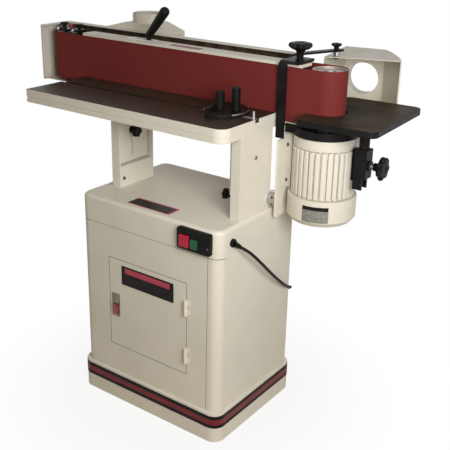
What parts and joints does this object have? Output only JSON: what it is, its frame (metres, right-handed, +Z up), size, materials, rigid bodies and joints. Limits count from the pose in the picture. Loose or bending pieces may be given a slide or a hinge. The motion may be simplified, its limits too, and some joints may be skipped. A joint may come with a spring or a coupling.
{
  "type": "edge sander",
  "caption": "Oscillating edge sander: tilting belt head with motor, main and end tables, miter gauge, dust hoods, belt tension lever and a cabinet base with a door.",
  "frame": {"origin": "on the floor under the middle of the base plinth", "axes": "+X along the belt from the idler to the drive drum, +Y to the back, +Z up"},
  "size_m": [1.2723, 0.8047, 1.181],
  "materials": {
    "ivory_paint": "satin",
    "black_stripe": "satin",
    "red_stripe": "satin",
    "bright_steel": "brushed",
    "drum_alloy": "turned",
    "grey_steel": "satin",
    "ground_iron": "ground",
    "black_metal": "satin",
    "black_plastic": "moulded",
    "red_plastic": "moulded",
    "green_plastic": "moulded",
    "belt_cloth": "abrasive",
    "black_rubber": "matte"
  },
  "bodies": {
    "base": {"base_plinth": "ivory_paint", "stripe_black": "black_stripe", "stripe_red": "red_stripe", "cabinet_shell": "ivory_paint", "front_panel": "ivory_paint", "cabinet_top": "ivory_paint", "switch_housing": "black_plastic", "left_column": "ivory_paint", "right_column": "ivory_paint", "left_pivot": "bright_steel", "right_pivot": "ivory_paint", "cord_grommet": "black_plastic", "cord_clip": "black_plastic", "power_cord": "black_rubber", "cord_coil": "black_rubber", "power_plug": "black_plastic"},
    "door": {"door_panel": "ivory_paint", "latch_frame": "bright_steel"},
    "latch": {"latch_paddle": "red_plastic"},
    "stop_push": {"stop_button": "red_plastic"},
    "start_push": {"start_button": "green_plastic"},
    "table": {"main_table": "ground_iron", "left_bracket": "grey_steel", "right_bracket": "grey_steel"},
    "left_lock": {"left_lock_knob": "black_plastic"},
    "right_lock": {"right_lock_knob": "black_plastic"},
    "tilt_lock": {"tilt_knob": "black_plastic"},
    "miter_slide": {"miter_bar": "bright_steel"},
    "miter_gauge": {"miter_head": "black_metal"},
    "miter_grip": {"miter_handle": "black_plastic"},
    "head": {"platen": "ivory_paint", "belt_guard": "ivory_paint", "left_hood": "ivory_paint", "left_arm": "ivory_paint", "motor_plate": "ivory_paint", "motor_bracket": "black_metal", "motor_bell": "ivory_paint", "motor_body": "ivory_paint", "motor_cap": "ivory_paint", "terminal_box": "ivory_paint", "post_holder": "black_metal", "hood_arm": "black_metal"},
    "oscillator": {"osc_rail": "grey_steel", "sanding_belt": "belt_cloth"},
    "drum": {"drive_drum": "drum_alloy"},
    "carriage": {"idler_yoke": "black_metal"},
    "idler": {"idler_drum": "drum_alloy"},
    "lever": {"tension_lever": "black_plastic"},
    "track_a": {"tracking_knob_a": "black_plastic"},
    "track_b": {"tracking_knob_b": "black_plastic"},
    "stop_bar": {"work_stop": "black_metal"},
    "stop_lock": {"stop_knob": "black_plastic"},
    "hood": {"end_hood": "ivory_paint"},
    "hood_lock": {"hood_knob": "black_plastic"},
    "outfeed": {"end_table": "ground_iron", "end_post": "black_metal"},
    "outfeed_lock": {"end_knob": "black_plastic"}
  },
  "joints": [
    {"name": "door_swing", "type": "hinge", "parent": "base", "child": "door", "pos_m": [0.14875, -0.199, 0.335], "axis": [0, 0, 1], "range_deg": [0, 110]},
    {"name": "latch_lift", "type": "hinge", "parent": "door", "child": "latch", "pos_m": [-0.1235, -0.1985, 0.327], "axis": [-1, 0, 0], "range_deg": [0, 35], "stiffness_Nm_per_rad": 0.05},
    {"name": "stop_press", "type": "slide", "parent": "base", "child": "stop_push", "axis": [0, 1, 0], "range_m": [0, 0.004], "stiffness_N_per_m": 800},
    {"name": "start_press", "type": "slide", "parent": "base", "child": "start_push", "axis": [0, 1, 0], "range_m": [0, 0.004], "stiffness_N_per_m": 800},
    {"name": "table_height", "type": "slide", "parent": "base", "child": "table", "axis": [0, 0, 1], "range_m": [0, 0.075]},
    {"name": "left_lock_turn", "type": "hinge", "parent": "base", "child": "left_lock", "pos_m": [-0.204, -0.022, 0.827], "axis": [1, 0, 0], "range_deg": [-180, 180]},
    {"name": "right_lock_turn", "type": "hinge", "parent": "base", "child": "right_lock", "pos_m": [0.21, -0.022, 0.827], "axis": [1, 0, 0], "range_deg": [-180, 180]},
    {"name": "tilt_lock_turn", "type": "hinge", "parent": "base", "child": "tilt_lock", "pos_m": [0.18, -0.038, 0.709], "axis": [1, 0, 0], "range_deg": [-180, 180]},
    {"name": "miter_travel", "type": "slide", "parent": "table", "child": "miter_slide", "axis": [1, 0, 0], "range_m": [-0.5, 0.06]},
    {"name": "miter_swivel", "type": "hinge", "parent": "miter_slide", "child": "miter_gauge", "pos_m": [0.127, -0.023, 0.936], "axis": [0, 0, 1], "range_deg": [-65, 25]},
    {"name": "miter_grip_turn", "type": "hinge", "parent": "miter_slide", "child": "miter_grip", "pos_m": [0.181, -0.023, 0.99], "axis": [0, 0, 1], "range_deg": [-180, 180]},
    {"name": "head_tilt", "type": "hinge", "parent": "base", "child": "head", "pos_m": [0, 0.06, 0.688], "axis": [-1, 0, 0], "range_deg": [0, 90]},
    {"name": "belt_oscillation", "type": "slide", "parent": "head", "child": "oscillator", "axis": [0, 0, 1], "range_m": [0, 0.005]},
    {"name": "drum_spin", "type": "hinge", "parent": "oscillator", "child": "drum", "pos_m": [0.381, 0.126, 0.99], "axis": [0, 0, 1], "continuous": true},
    {"name": "idler_tension", "type": "slide", "parent": "oscillator", "child": "carriage", "axis": [1, 0, 0], "range_m": [0, 0.0091]},
    {"name": "idler_spin", "type": "hinge", "parent": "carriage", "child": "idler", "pos_m": [-0.612, 0.1145, 0.99], "axis": [0, 0, 1], "continuous": true},
    {"name": "tension_swing", "type": "hinge", "parent": "head", "child": "lever", "pos_m": [-0.252, 0.113, 1.045], "axis": [0, -1, 0], "range_deg": [0, 50]},
    {"name": "track_a_turn", "type": "hinge", "parent": "carriage", "child": "track_a", "pos_m": [-0.625, 0.118, 1.095], "axis": [0, 0, 1], "range_deg": [-180, 180]},
    {"name": "track_b_turn", "type": "hinge", "parent": "carriage", "child": "track_b", "pos_m": [-0.556, 0.118, 1.095], "axis": [0, 0, 1], "range_deg": [-180, 180]},
    {"name": "stop_slide", "type": "slide", "parent": "head", "child": "stop_bar", "axis": [0, -1, 0], "range_m": [0, 0.015]},
    {"name": "stop_knob_turn", "type": "hinge", "parent": "head", "child": "stop_lock", "pos_m": [0.301, 0.1, 1.11], "axis": [0, 0, 1], "range_deg": [-180, 180]},
    {"name": "hood_swing", "type": "hinge", "parent": "head", "child": "hood", "pos_m": [0.276, 0.35, 1.057], "axis": [0, 0, 1], "range_deg": [-8, 60]},
    {"name": "hood_knob_turn", "type": "hinge", "parent": "head", "child": "hood_lock", "pos_m": [0.276, 0.35, 1.084], "axis": [0, 0, 1], "range_deg": [-180, 180]},
    {"name": "outfeed_height", "type": "slide", "parent": "head", "child": "outfeed", "axis": [0, 0, 1], "range_m": [-0.01, 0.04]},
    {"name": "outfeed_knob_turn", "type": "hinge", "parent": "head", "child": "outfeed_lock", "pos_m": [0.56, 0.11, 0.828], "axis": [1, 0, 0], "range_deg": [-180, 180]}
  ],
  "couplings": [
    {"joint": "idler_spin", "follows": "drum_spin", "ratio": 1.3151},
    {"joint": "idler_tension", "follows": "tension_swing", "m_per_rad": 0.0104}
  ]
}
